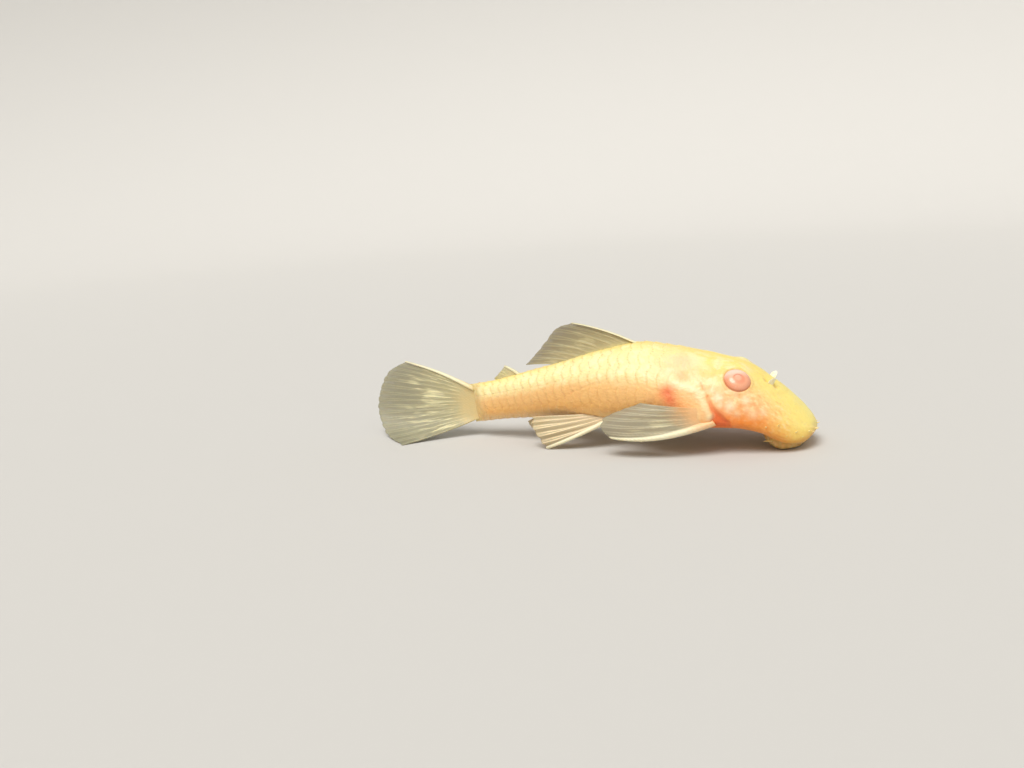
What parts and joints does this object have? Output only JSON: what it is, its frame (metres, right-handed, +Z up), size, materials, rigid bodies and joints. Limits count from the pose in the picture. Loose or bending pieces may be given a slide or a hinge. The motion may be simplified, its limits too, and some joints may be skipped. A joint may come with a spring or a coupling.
{
  "type": "bristlenose catfish",
  "caption": "Life-size still model of a half-grown albino bristlenose catfish resting on the ground on its sucker mouth, pelvic fins and tail fin.",
  "frame": {"origin": "on the ground, under the middle of the fish's box", "axes": "+X along the fish towards its head, +Y to its left, +Z up"},
  "size_m": [0.0682, 0.0214, 0.0175],
  "materials": {
    "skin": "moist, finely rough skin over bony plates, pale yellow above and apricot below",
    "cheek": "moist orange-pink skin over the gill cover",
    "eye": "clear wet eyeball with a pink-red iris",
    "lip": "soft moist lips with small warts",
    "fin": "thin translucent membrane on pale bony rays"
  },
  "bodies": {
    "root": {"head": "skin", "trunk": "skin", "tail_stem": "skin", "gill_cover_right": "cheek", "gill_cover_left": "cheek", "eye_right": "eye", "eye_left": "eye", "sucker_mouth": "lip", "dorsal_fin": "fin", "adipose_fin": "fin", "anal_fin": "fin", "caudal_fin": "fin", "pectoral_fin_right": "fin", "pectoral_fin_left": "fin", "pelvic_fin_right": "fin", "pelvic_fin_left": "fin"}
  },
  "joints": []
}
